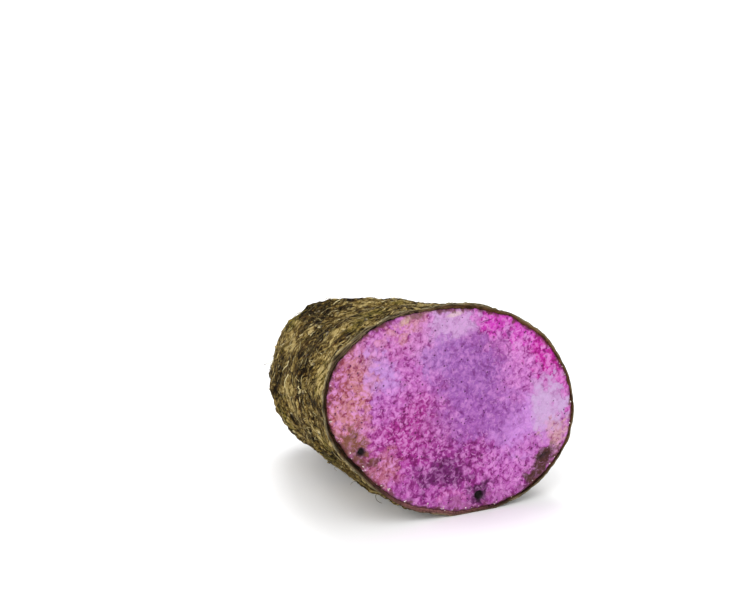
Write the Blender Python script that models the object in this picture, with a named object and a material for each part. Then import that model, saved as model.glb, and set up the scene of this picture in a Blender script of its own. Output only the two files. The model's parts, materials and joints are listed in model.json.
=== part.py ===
"""Half a purple yam, lying on its belly with the knife cut facing +X.

The tuber grew as one piece, so it is one solid: a lumpy, wrinkled body that tapers to a blunt tip,
one flat knife cut with two small rot pits in it, and a flat spot under the belly to rest on.
Metres, +Z up. The origin is on the table, under the middle of the part's bounding box.
"""

import bisect
import math
import random

import bmesh
import bpy
from mathutils import Vector, noise

# The knife cut is an oval that leans over to one side, a little fuller at three places.
CUT_HALF_WIDTH = 0.0493
CUT_HALF_HEIGHT = 0.0362
CUT_LEAN = math.radians(-20.4)
OVAL_SQUARENESS = 1.93
CUT_FULLNESS = 0.0206
CUT_FULLEST_AT = math.radians(35.6)

# The body behind the cut narrows to a rounder, blunt tip.
BODY_LENGTH = 0.0962
TIP_HALF_WIDTH = 0.0300
TIP_HALF_HEIGHT = 0.0303
TIP_LEAN = math.radians(-3.0)
TIP_BLUNTNESS = 3.4
TIP_CENTRE_HEIGHT = 0.0312
TIP_DRIFT_Y = -0.0078
LIFT_BLEND = 0.0030

# The belly is flat where the yam lies on the table, and rises a little towards the cut.
BELLY_FLAT_DEPTH = 0.0013
RIM_LIFT = 0.0010
RIM_LIFT_RUN = 0.0220

# The bark's worn edge round the cut.
RIM_INSET = 0.0011
RIM_DEPTH = 0.0008

# Broad swellings and hollows: direction round the body, share of its length, height and radius.
SWELLINGS = (
    (math.radians(112.0), 0.72, 0.0020, 0.0130),
    (math.radians(172.0), 0.74, -0.0010, 0.0120),
    (math.radians(66.0), 0.40, 0.0013, 0.0160),
    (math.radians(84.0), 0.60, 0.0011, 0.0140),
    (math.radians(20.0), 0.60, 0.0018, 0.0160),
    (math.radians(88.0), 0.12, -0.0011, 0.0070),
    (math.radians(204.0), 0.18, -0.0015, 0.0130),
    (math.radians(213.0), 0.34, -0.0022, 0.0170),
    (math.radians(218.0), 0.58, -0.0030, 0.0135),
    (math.radians(172.0), 0.00, 0.0013, 0.0150),
    (math.radians(231.0), 0.00, 0.0016, 0.0125),
    (math.radians(233.0), 0.20, -0.0018, 0.0120),
)

# Relief of the bark: height and wavelength of each layer.
LUMP_HEIGHT = 0.0017
LUMP_LENGTH = 0.0210
HUMMOCK_HEIGHT = 0.0011
HUMMOCK_LENGTH = 0.0088
WRINKLE_HEIGHT = 0.0007
WRINKLE_SPACING = 0.0060
WRINKLE_RUN = 0.0220
RIM_FADE = 0.0050

# Root knobs and dents are scattered over the bark by a golden-angle spiral.
GOLDEN_ANGLE = math.radians(137.508)
SCATTER_SEED = 11
KNOB_COUNT = 46
KNOB_HEIGHTS = (0.0003, 0.0010)
KNOB_RADII = (0.0024, 0.0042)
DENT_COUNT = 20
DENT_DEPTHS = (0.0007, 0.0015)
DENT_RADII = (0.0032, 0.0058)

# The withered crown at the tip, where the vine grew from.
CROWN_HEIGHT = 0.0022
CROWN_RADIUS = 0.0062
CROWN_DIMPLE_DEPTH = 0.0020
CROWN_DIMPLE_RADIUS = 0.0026

# Rot pits in the cut: place from the cut's middle (y, z), mouth radius and depth.
ROT_PITS = (
    (-0.0358, -0.0091, 0.0015, 0.0014),
    (0.0092, -0.0316, 0.0021, 0.0014),
)

# Mesh density.
SEGMENTS = 94
RINGS = 60
PIT_SEGMENTS = 14
PROFILE_STEPS = 300


def clear_scene():
    for old in list(bpy.data.objects):
        bpy.data.objects.remove(old, do_unlink=True)


def smoothstep(value):
    value = min(1.0, max(0.0, value))
    return value * value * (3.0 - 2.0 * value)


def smooth_maximum(first, second, blend):
    """The larger of two lengths, rounded over where they are within blend of each other."""
    return 0.5 * (first + second + math.sqrt((first - second) ** 2 + blend**2))


def oval(angle, half_width, half_height, lean):
    """Radius of a leaning oval in the direction of an angle from +Y towards +Z."""
    turned = angle - lean
    across = abs(math.cos(turned) / half_width) ** OVAL_SQUARENESS
    upward = abs(math.sin(turned) / half_height) ** OVAL_SQUARENESS
    return (across + upward) ** (-1.0 / OVAL_SQUARENESS)


def lowest_reach(half_width, half_height, lean):
    """How far a leaning oval reaches below its middle."""
    return math.hypot(half_width * math.sin(lean), half_height * math.cos(lean))


def profile(along):
    """Depth behind the cut and closing of the section, both 0 to 1, at a place along the body."""
    turn = 0.5 * math.pi * along
    reach = (math.sin(turn) ** TIP_BLUNTNESS + math.cos(turn) ** TIP_BLUNTNESS) ** (-1.0 / TIP_BLUNTNESS)
    return reach * math.sin(turn), reach * math.cos(turn)


def profile_lengths():
    """Lengths along the profile from the cut to the tip, at even steps of the place along it."""
    lengths = [0.0]
    before = profile(0.0)
    for step in range(1, PROFILE_STEPS + 1):
        after = profile(step / PROFILE_STEPS)
        lengthwise = BODY_LENGTH * (after[0] - before[0])
        inward = TIP_HALF_WIDTH * (after[1] - before[1])
        lengths.append(lengths[-1] + math.hypot(lengthwise, inward))
        before = after
    return lengths


def place_at(share, lengths):
    """The place along the body where a share of the profile's length is reached."""
    wanted = share * lengths[-1]
    step = min(bisect.bisect_right(lengths, wanted), PROFILE_STEPS) - 1
    part_way = (wanted - lengths[step]) / (lengths[step + 1] - lengths[step])
    return (step + part_way) / PROFILE_STEPS


def body_point(angle, along):
    """A point of the smooth body. along runs from 0 at the cut to 1 at the tip.

    X is 0 at the cut, Y is 0 at its middle and Z is 0 where the belly would meet the table.
    """
    depth, closing = profile(along)
    half_width = CUT_HALF_WIDTH + (TIP_HALF_WIDTH - CUT_HALF_WIDTH) * depth
    half_height = CUT_HALF_HEIGHT + (TIP_HALF_HEIGHT - CUT_HALF_HEIGHT) * depth
    lean = CUT_LEAN + (TIP_LEAN - CUT_LEAN) * depth
    fullness = CUT_FULLNESS * (1.0 - depth) * math.cos(3.0 * (angle - CUT_FULLEST_AT))
    radius = closing * (1.0 + fullness) * oval(angle, half_width, half_height, lean)
    belly = closing * lowest_reach(half_width, half_height, lean)
    middle_height = smooth_maximum(belly, TIP_CENTRE_HEIGHT, LIFT_BLEND)
    rim_lift = RIM_LIFT * (1.0 - smoothstep(BODY_LENGTH * depth / RIM_LIFT_RUN))
    return Vector(
        (
            -BODY_LENGTH * depth,
            TIP_DRIFT_Y * depth + radius * math.cos(angle),
            middle_height + rim_lift + radius * math.sin(angle),
        )
    )


def body_normal(angle, along):
    """Outward direction of the smooth body, from two short steps along it."""
    step = 0.004
    around = body_point(angle + step, along) - body_point(angle - step, along)
    inner, outer = max(0.0, along - step), min(1.0, along + step)
    lengthwise = body_point(angle, outer) - body_point(angle, inner)
    outward = lengthwise.cross(around)
    if outward.length < 1e-12:
        return Vector((-1.0, 0.0, 0.0))
    return outward.normalized()


def scattered(count, heights, radii, first_turn, lengths):
    """Places on the body by a golden-angle spiral, each with a height and a radius."""
    draw = random.Random(SCATTER_SEED)
    spots = []
    for index in range(count):
        along = place_at(0.05 + 0.90 * (index + draw.random()) / count, lengths)
        angle = first_turn + index * GOLDEN_ANGLE + draw.uniform(-0.35, 0.35)
        spots.append((body_point(angle, along), draw.uniform(*heights), draw.uniform(*radii)))
    return spots


def hill(point, centre, radius):
    """A rounded hill of height 1 over a spot on the bark."""
    return math.exp(-(((point - centre).length / radius) ** 2))


def bark_relief(point, swellings, knobs, dents, tip):
    """How far the bark stands out of the smooth body at a point."""
    broad = sum(height * hill(point, spot, radius) for spot, height, radius in swellings)
    lumps = LUMP_HEIGHT * noise.noise(point / LUMP_LENGTH)
    hummocks = HUMMOCK_HEIGHT * noise.noise(point / HUMMOCK_LENGTH + Vector((7.0, 3.0, 1.0)))
    wander = noise.noise(point / WRINKLE_RUN + Vector((2.0, 9.0, 4.0)))
    phase = math.pi * (point.x / WRINKLE_SPACING + 2.0 * wander)
    patchy = 0.5 + 0.5 * noise.noise(point / WRINKLE_RUN + Vector((5.0, 1.0, 8.0)))
    wrinkles = WRINKLE_HEIGHT * patchy * (1.0 - 2.0 * abs(math.sin(phase)))
    raised = sum(height * hill(point, spot, radius) for spot, height, radius in knobs)
    sunk = sum(depth * hill(point, spot, radius) for spot, depth, radius in dents)
    crown = CROWN_HEIGHT * hill(point, tip, CROWN_RADIUS)
    crown -= CROWN_DIMPLE_DEPTH * hill(point, tip, CROWN_DIMPLE_RADIUS)
    fade = 0.35 + 0.65 * smoothstep(-point.x / RIM_FADE)
    return broad + fade * (lumps + hummocks + wrinkles + raised - sunk) + crown


def bark_point(angle, along, relief):
    """A point of the finished bark, with its relief and the flat under the belly."""
    smooth = body_point(angle, along)
    point = smooth + body_normal(angle, along) * relief(smooth)
    point.x = min(point.x, -RIM_DEPTH)
    point.z = max(point.z, BELLY_FLAT_DEPTH)
    return point


def make_body_mesh():
    """The whole tuber as one closed mesh: the cut, the worn rim, the bark and the tip."""
    lengths = profile_lengths()
    knobs = scattered(KNOB_COUNT, KNOB_HEIGHTS, KNOB_RADII, 0.4, lengths)
    dents = scattered(DENT_COUNT, DENT_DEPTHS, DENT_RADII, 1.7, lengths)
    swellings = []
    for angle, share, height, radius in SWELLINGS:
        swellings.append((body_point(angle, place_at(share, lengths)), height, radius))
    tip = body_point(0.0, 1.0)

    def relief(point):
        return bark_relief(point, swellings, knobs, dents, tip)

    shape = bmesh.new()
    loops = []
    for ring in range(RINGS):
        along = place_at(ring / RINGS, lengths)
        loop = []
        for segment in range(SEGMENTS):
            angle = 2.0 * math.pi * segment / SEGMENTS
            loop.append(shape.verts.new(bark_point(angle, along, relief)))
        loops.append(loop)

    middle = cut_middle()
    edge = []
    for vertex in loops[0]:
        outward = Vector((0.0, vertex.co.y - middle.y, vertex.co.z - middle.z))
        inner = vertex.co - outward.normalized() * RIM_INSET
        inner.x = 0.0
        inner.z = max(inner.z, BELLY_FLAT_DEPTH + RIM_INSET)
        edge.append(shape.verts.new(inner))
    loops.insert(0, edge)

    for near, far in zip(loops, loops[1:]):
        for segment in range(SEGMENTS):
            following = (segment + 1) % SEGMENTS
            shape.faces.new((near[segment], far[segment], far[following], near[following]))
    shape.faces.new(edge)
    end = shape.verts.new(tip - Vector((relief(tip), 0.0, 0.0)))
    for segment in range(SEGMENTS):
        following = (segment + 1) % SEGMENTS
        shape.faces.new((loops[-1][segment], end, loops[-1][following]))
    bmesh.ops.recalc_face_normals(shape, faces=shape.faces)

    mesh = bpy.data.meshes.new("purple_yam_half")
    shape.to_mesh(mesh)
    shape.free()
    return mesh


def cut_middle():
    """The middle of the cut, before the part is moved to its origin."""
    return Vector((0.0, 0.0, lowest_reach(CUT_HALF_WIDTH, CUT_HALF_HEIGHT, CUT_LEAN) + RIM_LIFT))


def move_to_origin(mesh):
    """Puts the origin under the middle of the bounding box, on the belly's flat, and returns the move."""
    low = [min(vertex.co[axis] for vertex in mesh.vertices) for axis in range(3)]
    high = [max(vertex.co[axis] for vertex in mesh.vertices) for axis in range(3)]
    move = Vector((-(low[0] + high[0]) / 2.0, -(low[1] + high[1]) / 2.0, -low[2]))
    for vertex in mesh.vertices:
        vertex.co += move
    return move


def make_material(name, colour, roughness):
    material = bpy.data.materials.new(name)
    material.use_nodes = True
    shader = material.node_tree.nodes["Principled BSDF"]
    shader.inputs["Base Color"].default_value = (*colour, 1.0)
    shader.inputs["Roughness"].default_value = roughness
    shader.inputs["Metallic"].default_value = 0.0
    material.diffuse_color = (*colour, 1.0)
    return material


def paint(mesh, cut_x):
    """Bark all over, and purple flesh on the faces of the cut."""
    mesh.materials.append(make_material("bark", (0.105, 0.078, 0.032), 0.85))
    mesh.materials.append(make_material("flesh", (0.480, 0.110, 0.460), 0.45))
    for face in mesh.polygons:
        on_cut = all(abs(mesh.vertices[index].co.x - cut_x) < 1e-6 for index in face.vertices)
        face.material_index = 1 if on_cut else 0
        face.use_smooth = not on_cut


def cut_rot_pit(yam, place, radius, depth, number):
    """Hollows one shallow pit in the cut with a flattened ball, kept in the scene as a hidden cutter."""
    shape = bmesh.new()
    bmesh.ops.create_uvsphere(shape, u_segments=PIT_SEGMENTS, v_segments=PIT_SEGMENTS // 2, radius=1.0)
    bmesh.ops.recalc_face_normals(shape, faces=shape.faces)
    for vertex in shape.verts:
        vertex.co = Vector((vertex.co.z * depth, vertex.co.x * radius, vertex.co.y * radius)) + place
    mesh = bpy.data.meshes.new(f"rot_pit_cutter_{number}")
    shape.to_mesh(mesh)
    shape.free()
    cutter = bpy.data.objects.new(mesh.name, mesh)
    bpy.context.scene.collection.objects.link(cutter)
    cutter.hide_render = True
    cutter.display_type = "WIRE"
    cut = yam.modifiers.new(f"rot_pit_{number}", "BOOLEAN")
    cut.operation = "DIFFERENCE"
    cut.object = cutter


def make_yam():
    mesh = make_body_mesh()
    move = move_to_origin(mesh)
    paint(mesh, move.x)
    yam = bpy.data.objects.new("purple_yam_half", mesh)
    bpy.context.scene.collection.objects.link(yam)
    middle = cut_middle() + move
    for number, (side, up, radius, depth) in enumerate(ROT_PITS, start=1):
        cut_rot_pit(yam, middle + Vector((0.0, side, up)), radius, depth, number)
    return yam


clear_scene()
make_yam()
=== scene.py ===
"""The looks of half a purple yam: its bark, its cut flesh, and the small things that cling to both.

Metres, +Z up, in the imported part's own frame: the knife cut faces +X and the belly lies on Z = 0.
"""

import json
import math
import random

import bpy
import numpy as np
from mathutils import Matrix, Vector, noise


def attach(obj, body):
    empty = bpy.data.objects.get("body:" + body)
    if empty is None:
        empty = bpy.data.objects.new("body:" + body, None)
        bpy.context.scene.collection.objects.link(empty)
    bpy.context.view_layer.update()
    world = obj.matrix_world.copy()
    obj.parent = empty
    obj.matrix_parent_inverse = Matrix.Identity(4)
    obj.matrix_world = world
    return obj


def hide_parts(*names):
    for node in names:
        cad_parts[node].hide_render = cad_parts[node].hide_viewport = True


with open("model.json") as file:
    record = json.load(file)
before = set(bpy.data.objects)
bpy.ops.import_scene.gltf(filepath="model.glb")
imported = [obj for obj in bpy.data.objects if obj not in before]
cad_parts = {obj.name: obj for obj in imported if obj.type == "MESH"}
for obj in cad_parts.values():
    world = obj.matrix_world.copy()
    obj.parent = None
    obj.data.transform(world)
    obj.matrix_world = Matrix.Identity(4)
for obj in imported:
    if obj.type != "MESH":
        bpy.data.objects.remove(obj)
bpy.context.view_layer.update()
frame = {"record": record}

# The bark: the tuber's corky skin, a lumpy, wrinkled coat over one grown body, closed at the withered tip.
# Its large forms follow the part's own rule. The fine folds, cracks and warts, the dark worn band round
# the knife cut, whose colour is partly painted shade, and the lip of skin at its edge are added here.

CUT_HALF_WIDTH = 0.0493
CUT_HALF_HEIGHT = 0.0362
CUT_LEAN = math.radians(-20.4)
OVAL_SQUARENESS = 1.93
CUT_FULLNESS = 0.0206
CUT_FULLEST_AT = math.radians(35.6)
BODY_LENGTH = 0.0962
TIP_HALF_WIDTH = 0.0300
TIP_HALF_HEIGHT = 0.0303
TIP_LEAN = math.radians(-3.0)
TIP_BLUNTNESS = 3.4
TIP_CENTRE_HEIGHT = 0.0312
TIP_DRIFT_Y = -0.0078
LIFT_BLEND = 0.0030
BELLY_FLAT_DEPTH = 0.0013
RIM_LIFT = 0.0010
RIM_LIFT_RUN = 0.0220
RIM_DEPTH = 0.0008
# Swellings: angle in degrees, share of the way to the tip, height and radius.
SWELLINGS = (
    (112.0, 0.72, 0.0020, 0.0130),
    (172.0, 0.74, -0.0010, 0.0120),
    (66.0, 0.40, 0.0013, 0.0160),
    (84.0, 0.60, 0.0011, 0.0140),
    (20.0, 0.60, 0.0018, 0.0160),
    (88.0, 0.12, -0.0011, 0.0070),
    (204.0, 0.18, -0.0015, 0.0130),
    (213.0, 0.34, -0.0022, 0.0170),
    (218.0, 0.58, -0.0030, 0.0135),
    (172.0, 0.00, 0.0013, 0.0150),
    (231.0, 0.00, 0.0016, 0.0125),
    (233.0, 0.20, -0.0018, 0.0120),
)
LUMP_HEIGHT = 0.0017
LUMP_LENGTH = 0.0210
HUMMOCK_HEIGHT = 0.0011
HUMMOCK_LENGTH = 0.0088
WRINKLE_HEIGHT = 0.0007
WRINKLE_SPACING = 0.0060
WRINKLE_RUN = 0.0220
RIM_FADE = 0.0050
RIM_SHARE_LEFT = 0.35
GOLDEN_ANGLE = math.radians(137.508)
SCATTER_SEED = 11
# Knobs and dents: how many, their heights and radii, and the first one's turn.
KNOBS = (46, (0.0003, 0.0010), (0.0024, 0.0042), 0.4)
DENTS = (20, (0.0007, 0.0015), (0.0032, 0.0058), 1.7)
CROWN_HEIGHT = 0.0022
CROWN_RADIUS = 0.0062
CROWN_DIMPLE_DEPTH = 0.0020
CROWN_DIMPLE_RADIUS = 0.0026
PROFILE_STEPS = 300


def smoothstep(value):
    """0 up to a value of 0, 1 from a value of 1, and a smooth rise in between."""
    value = np.clip(value, 0.0, 1.0)
    return value * value * (3.0 - 2.0 * value)


def oval(angle, half_width, half_height, lean):
    """Radius of a leaning oval in the direction of an angle from +Y towards +Z."""
    turned = angle - lean
    across = np.abs(np.cos(turned) / half_width) ** OVAL_SQUARENESS
    upward = np.abs(np.sin(turned) / half_height) ** OVAL_SQUARENESS
    return (across + upward) ** (-1.0 / OVAL_SQUARENESS)


def lowest_reach(half_width, half_height, lean):
    """How far a leaning oval reaches below its middle."""
    return np.hypot(half_width * np.sin(lean), half_height * np.cos(lean))


def profile(along):
    """Depth behind the cut and closing of the section, both 0 to 1, at a place along the body."""
    turn = 0.5 * math.pi * np.asarray(along, float)
    across, deep = np.clip(np.cos(turn), 0.0, 1.0), np.sin(turn)
    reach = (deep**TIP_BLUNTNESS + across**TIP_BLUNTNESS) ** (-1.0 / TIP_BLUNTNESS)
    return reach * deep, reach * across


def body_point(angle, along):
    """Points of the smooth body. along runs from 0 at the cut to 1 at the tip."""
    depth, closing = profile(along)
    half_width = CUT_HALF_WIDTH + (TIP_HALF_WIDTH - CUT_HALF_WIDTH) * depth
    half_height = CUT_HALF_HEIGHT + (TIP_HALF_HEIGHT - CUT_HALF_HEIGHT) * depth
    lean = CUT_LEAN + (TIP_LEAN - CUT_LEAN) * depth
    fullness = CUT_FULLNESS * (1.0 - depth) * np.cos(3.0 * (angle - CUT_FULLEST_AT))
    radius = closing * (1.0 + fullness) * oval(angle, half_width, half_height, lean)
    belly = closing * lowest_reach(half_width, half_height, lean)
    apart = np.sqrt((belly - TIP_CENTRE_HEIGHT) ** 2 + LIFT_BLEND**2)
    middle_height = 0.5 * (belly + TIP_CENTRE_HEIGHT + apart)
    rim_lift = RIM_LIFT * (1.0 - smoothstep(BODY_LENGTH * depth / RIM_LIFT_RUN))
    across = TIP_DRIFT_Y * depth + radius * np.cos(angle)
    up = middle_height + rim_lift + radius * np.sin(angle)
    return np.stack(np.broadcast_arrays(-BODY_LENGTH * depth, across, up), axis=-1)


def body_normal(angle, along):
    """Outward directions of the smooth body, from two short steps along it."""
    step = 0.004
    around = body_point(angle + step, along) - body_point(angle - step, along)
    inner, outer = np.maximum(0.0, along - step), np.minimum(1.0, along + step)
    outward = np.cross(body_point(angle, outer) - body_point(angle, inner), around)
    length = np.linalg.norm(outward, axis=-1, keepdims=True)
    return np.where(length > 1e-14, outward / np.maximum(length, 1e-14), (-1.0, 0.0, 0.0))


def noise_field(points, size, shift=(0.0, 0.0, 0.0)):
    """Smooth noise, about -0.7 to 0.7, at every point, with features of that size."""
    scaled = points / np.array(size) + np.array(shift)
    values = [noise.noise(place) for place in scaled.reshape(-1, 3).tolist()]
    return np.array(values).reshape(points.shape[:-1])


def cell_field(points, size):
    """Distances to the nearest and the next cell middle, in cell sizes, and a tone for each cell."""
    scaled = (points / np.array(size)).reshape(-1, 3).tolist()
    found = np.empty((len(scaled), 3))
    for index, place in enumerate(scaled):
        distances, middles = noise.voronoi(place)
        tone = math.sin(middles[0].dot((12.9, 78.2, 37.7)) * 43.7)
        found[index] = (distances[0], distances[1], tone)
    return (found[:, part].reshape(points.shape[:-1]) for part in range(3))


def hills(points, spots):
    """Sum of rounded hills over the points. Each spot is a centre, a height and a radius."""
    total = np.zeros(points.shape[:-1])
    for centre, height, radius in spots:
        near = np.sum((points - np.array(centre)) ** 2, axis=-1) / radius**2
        total += height * np.exp(-near)
    return total


profile_places = np.linspace(0.0, 1.0, PROFILE_STEPS + 1)
profile_depth, profile_closing = profile(profile_places)
profile_steps = np.hypot(BODY_LENGTH * np.diff(profile_depth), TIP_HALF_WIDTH * np.diff(profile_closing))
profile_lengths = np.concatenate([[0.0], np.cumsum(profile_steps)])


def place_at(share):
    """The place along the body where a share of the profile's length is reached."""
    return np.interp(np.asarray(share) * profile_lengths[-1], profile_lengths, profile_places)


def scattered(count, heights, radii, first_turn):
    """The part's own knobs and dents: places by a golden-angle spiral, with heights and radii."""
    draw = random.Random(SCATTER_SEED)
    spots = []
    for index in range(count):
        along = place_at(0.05 + 0.90 * (index + draw.random()) / count)
        angle = first_turn + index * GOLDEN_ANGLE + draw.uniform(-0.35, 0.35)
        spots.append((body_point(angle, along), draw.uniform(*heights), draw.uniform(*radii)))
    return spots


def large_relief(points):
    """How far the bark stands out of the smooth body, as in the part's own source."""
    swellings = [
        (body_point(math.radians(angle), place_at(share)), height, radius)
        for angle, share, height, radius in SWELLINGS
    ]
    tip = body_point(0.0, 1.0)
    crown = [(tip, CROWN_HEIGHT, CROWN_RADIUS), (tip, -CROWN_DIMPLE_DEPTH, CROWN_DIMPLE_RADIUS)]
    knobs, dents = hills(points, scattered(*KNOBS)), hills(points, scattered(*DENTS))
    lumps = LUMP_HEIGHT * noise_field(points, LUMP_LENGTH)
    hummocks = HUMMOCK_HEIGHT * noise_field(points, HUMMOCK_LENGTH, (7.0, 3.0, 1.0))
    wander = noise_field(points, WRINKLE_RUN, (2.0, 9.0, 4.0))
    phase = math.pi * (points[..., 0] / WRINKLE_SPACING + 2.0 * wander)
    patchy = 0.5 + 0.5 * noise_field(points, WRINKLE_RUN, (5.0, 1.0, 8.0))
    wrinkles = WRINKLE_HEIGHT * patchy * (1.0 - 2.0 * np.abs(np.sin(phase)))
    fade = RIM_SHARE_LEFT + (1.0 - RIM_SHARE_LEFT) * smoothstep(-points[..., 0] / RIM_FADE)
    relief = fade * (lumps + hummocks + wrinkles + knobs - dents)
    return hills(points, swellings) + relief + hills(points, crown)


# Fine relief of the bark. grain is the length along the body from the cut, with Y and Z, so that
# a pattern stretched in Y and Z runs round the tuber, as its growth folds do.
BARK_SEGMENTS = 420
RIM_RINGS = 24
RIM_RINGS_RUN = 0.0072
BODY_RINGS = 184
FOLD_HEIGHT = 0.00018
FOLD_SIZE = (0.0018, 0.0110, 0.0110)
FINE_FOLD_HEIGHT = 0.00013
FINE_FOLD_SIZE = (0.0011, 0.0060, 0.0060)
FOLD_PATCH_SIZE = 0.0140
FOLD_WANDER = 0.0034
FOLD_WANDER_SIZE = 0.0090
SCURF_HEIGHT = 0.00014
SCURF_SIZE = 0.0021
PLATE_SIZE = (0.0034, 0.0062, 0.0062)
PLATE_CRACK_DEPTH = 0.00022
PLATE_CRACK_WIDTH = 0.20
PLATE_STEP = 0.00008
GRIT_HEIGHT = 0.00012
GRIT_SIZE = 0.0012
# Warts and pocks: how many, their heights, and a seed.
WARTS = (420, (0.00008, 0.00030), 5)
POCKS = (480, (0.00020, 0.00055), 6)
SPOT_RADII = (0.00045, 0.00105)


def strewn_spots(points, count, heights, seed):
    """Warts or pocks: points of the bark drawn at random, fewer where its rings are short."""
    draw = random.Random(seed)
    spots = []
    for index in range(count):
        ring, segment = draw.randrange(4, len(points)), draw.randrange(BARK_SEGMENTS)
        spot = (points[ring, segment], draw.uniform(*heights), draw.uniform(*SPOT_RADII))
        if draw.random() < profile(bark_along[ring, 0])[1]:
            spots.append(spot)
    return hills(points, spots)


def fine_relief(points, grain):
    """Folds, cracked plates, scurf, grit, warts and pocks."""
    drifted = grain.copy()
    for axis, shift in enumerate(((3.0, 1.0, 4.0), (1.0, 5.0, 9.0), (2.0, 6.0, 5.0))):
        drifted[..., axis] += FOLD_WANDER * noise_field(grain, FOLD_WANDER_SIZE, shift)
    patch = np.clip(0.5 + 0.9 * noise_field(grain, FOLD_PATCH_SIZE, (6.0, 2.0, 5.0)), 0.0, 1.0)
    folds = 1.0 - 2.6 * np.abs(noise_field(drifted, FOLD_SIZE))
    fine_folds = 1.0 - 2.6 * np.abs(noise_field(drifted, FINE_FOLD_SIZE, (9.0, 4.0, 2.0)))
    nearest, following, tone = cell_field(drifted, PLATE_SIZE)
    cracks = 1.0 - smoothstep((following - nearest) / PLATE_CRACK_WIDTH)
    plates = PLATE_STEP * tone - PLATE_CRACK_DEPTH * cracks
    scurf = SCURF_HEIGHT * noise_field(points, SCURF_SIZE, (4.0, 4.0, 7.0))
    grit = GRIT_HEIGHT * noise_field(points, GRIT_SIZE, (1.0, 8.0, 3.0))
    height = FOLD_HEIGHT * folds * (0.3 + 0.7 * patch) + FINE_FOLD_HEIGHT * fine_folds
    height += plates * (1.0 - 0.45 * patch) + scurf + grit
    height += strewn_spots(points, *WARTS)
    return height - strewn_spots(points, *POCKS)


rim_share = RIM_RINGS_RUN / profile_lengths[-1]
rim_shares = np.linspace(0.0, rim_share, RIM_RINGS, endpoint=False)
bark_share = np.concatenate([rim_shares, np.linspace(rim_share, 1.0, BODY_RINGS, endpoint=False)])
bark_along = place_at(bark_share)[:, None]
bark_angle = (2.0 * math.pi * np.arange(BARK_SEGMENTS) / BARK_SEGMENTS)[None, :]
smooth_body = body_point(bark_angle, bark_along)
behind_cut = -smooth_body[..., 0]
outward = body_normal(bark_angle, bark_along)
bark = smooth_body + outward * large_relief(smooth_body)[..., None]
bark[..., 0] = np.minimum(bark[..., 0], -RIM_DEPTH)
bark[..., 2] = np.maximum(bark[..., 2], BELLY_FLAT_DEPTH)

# The part's origin lies under the middle of its box, so the same move is made here.
cut_place = next(mount for mount in frame["record"]["mounts"] if mount["name"] == "cut_face")["pos_m"]
box_middle_y = 0.5 * (bark[..., 1].min() + bark[..., 1].max())
to_origin = np.array((cut_place[0], -box_middle_y, -BELLY_FLAT_DEPTH))
cut_middle = np.array((0.0, 0.0, lowest_reach(CUT_HALF_WIDTH, CUT_HALF_HEIGHT, CUT_LEAN) + RIM_LIFT))

length_along = np.broadcast_to(bark_share[:, None] * profile_lengths[-1], bark.shape[:2])
grain = np.stack((length_along, bark[..., 1], bark[..., 2]), axis=-1)
fine = fine_relief(smooth_body, grain)

# Behind the cut the skin is worn back to a sunken band, wide and grey on the upper left. Its dark tones
# are partly the worn skin's own and partly painted shade of the rolled edge. A thin pale crust stands up
# where the sound bark begins. A side is an angle and a spread, in degrees.
UPPER_LEFT_SIDE = (126.0, 46.0)
LEFT_SIDE = (175.0, 95.0)
LOWER_LEFT_SIDE = (234.0, 34.0)
BOTTOM_LEFT_SIDE = (255.0, 55.0)
RIGHT_SIDE = (30.0, 110.0)
BAND_RUN = 0.0006
BAND_RUN_LEFT = 0.0009
BAND_RUN_UPPER = 0.0034
BAND_WAVE = 0.0050
BAND_DEPTH = 0.0006
CRUST_HEIGHT = 0.00045
CRUST_WIDTH = 0.00062
CRUST_GAP = 0.0002
CRUST_BREAKS = 0.0026
RELIEF_STARTS = 0.0012


def bump_round(angle, centre, spread):
    """1 at an angle, falling smoothly to 0 beyond a spread on both sides. Angles in degrees."""
    apart = np.abs((np.degrees(angle) - centre + 180.0) % 360.0 - 180.0)
    return 1.0 - smoothstep(apart / spread)


upper_left = bump_round(bark_angle, *UPPER_LEFT_SIDE)
band_run = BAND_RUN + BAND_RUN_LEFT * bump_round(bark_angle, *LEFT_SIDE) + BAND_RUN_UPPER * upper_left
band_run = band_run * (1.0 + 0.35 * noise_field(bark[0], BAND_WAVE, (1.0, 1.0, 6.0)))
band = 1.0 - smoothstep((behind_cut / band_run - 0.82) / 0.30)
broken = np.clip(0.75 + 0.9 * noise_field(smooth_body, CRUST_BREAKS, (5.0, 5.0, 5.0)), 0.0, 1.0)
crust = np.exp(-(((behind_cut - 1.12 * band_run - CRUST_GAP) / CRUST_WIDTH) ** 2)) * broken
crust = crust * (1.0 - 0.8 * bump_round(bark_angle, *LOWER_LEFT_SIDE))
fine = fine * (1.0 - 0.7 * band) * (0.4 + 0.6 * smoothstep(behind_cut / RELIEF_STARTS))
sunk = BAND_DEPTH * np.clip(1.0 - behind_cut / band_run, 0.0, 1.0)
bark = bark + outward * (fine - sunk + CRUST_HEIGHT * crust)[..., None]
bark[..., 0] = np.minimum(bark[..., 0], -0.75 * RIM_DEPTH)
bark[..., 2] = np.maximum(bark[..., 2], BELLY_FLAT_DEPTH)

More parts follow.
